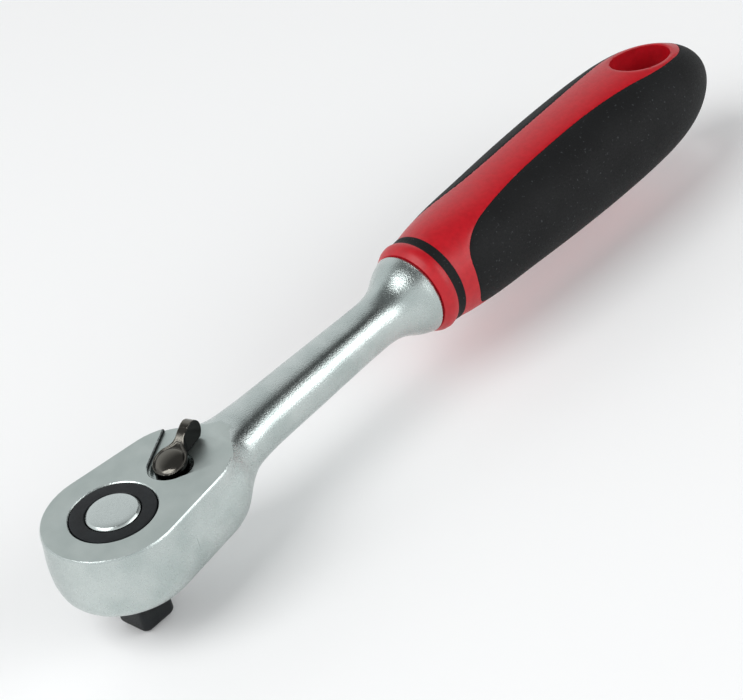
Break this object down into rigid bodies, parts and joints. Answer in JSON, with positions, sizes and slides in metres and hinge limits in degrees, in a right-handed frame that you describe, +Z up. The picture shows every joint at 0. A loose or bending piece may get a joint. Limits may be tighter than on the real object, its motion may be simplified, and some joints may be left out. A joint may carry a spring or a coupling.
{
  "type": "ratchet wrench",
  "caption": "Reversible ratchet wrench with a square drive, push-button socket release, a reversing lever on the head and a red and black grip with a hang hole.",
  "frame": {"origin": "centre of the square drive's free end face, on the drive's axis", "axes": "+X along the handle towards the hang hole, +Z up along the drive's axis through the release button, +Y to the left of the handle seen from above"},
  "size_m": [0.2259, 0.0346, 0.038],
  "materials": {
    "satin_chrome": "satin chrome plate over blasted forged steel, machined top",
    "black_phosphate_steel": "matt black phosphated steel",
    "bright_steel": "ground bright steel",
    "spring_steel": "blued spring steel",
    "hardened_steel": "hardened and tumbled steel",
    "dark_nickel": "polished black nickel plate",
    "seal_rubber": "moulded nitrile rubber",
    "red_polypropylene": "satin moulded polypropylene",
    "black_tpe": "matt moulded thermoplastic elastomer"
  },
  "bodies": {
    "handle": {"ratchet_body": "satin_chrome", "grip_core": "red_polypropylene", "grip_band": "black_tpe", "grip_overmould": "black_tpe", "cover_plate": "satin_chrome", "retaining_ring": "spring_steel", "friction_washer": "spring_steel"},
    "drive": {"drive_gear": "black_phosphate_steel", "hub_seal": "seal_rubber", "cover_seal": "seal_rubber"},
    "button": {"release_button": "satin_chrome", "release_pin": "bright_steel", "release_spring": "spring_steel"},
    "ball": {"socket_ball": "bright_steel"},
    "lever": {"reverse_lever": "dark_nickel", "lever_seal": "seal_rubber", "lever_clip": "spring_steel", "plunger_spring": "spring_steel"},
    "plunger": {"pawl_plunger": "bright_steel"},
    "pawl": {"pawl": "hardened_steel"}
  },
  "joints": [
    {"name": "drive_spin", "type": "hinge", "parent": "handle", "child": "drive", "pos_m": [0, 0, 0.02], "axis": [0, 0, 1], "continuous": true},
    {"name": "button_press", "type": "slide", "parent": "drive", "child": "button", "axis": [0, 0, -1], "range_m": [0, 0.0024], "stiffness_N_per_m": 900, "springref_m": -0.002, "deforming": ["release_spring"]},
    {"name": "ball_retract", "type": "slide", "parent": "drive", "child": "ball", "axis": [-1, 0, 0], "range_m": [0, 0.00075]},
    {"name": "lever_flip", "type": "hinge", "parent": "handle", "child": "lever", "pos_m": [0.0184, 0, 0.0253], "axis": [0, 0, 1], "range_deg": [-28, 0]},
    {"name": "pawl_rock", "type": "hinge", "parent": "handle", "child": "pawl", "pos_m": [0.014, 0, 0.0212], "axis": [0, 0, 1], "range_deg": [0, 9]},
    {"name": "plunger_press", "type": "slide", "parent": "lever", "child": "plunger", "axis": [0.9703, 0.2419, 0], "range_m": [0, 0.0008], "stiffness_N_per_m": 700, "springref_m": -0.001}
  ],
  "couplings": [
    {"joint": "ball_retract", "follows": "button_press", "ratio": 0.3125},
    {"joint": "pawl_rock", "follows": "lever_flip", "ratio": -0.32143}
  ]
}
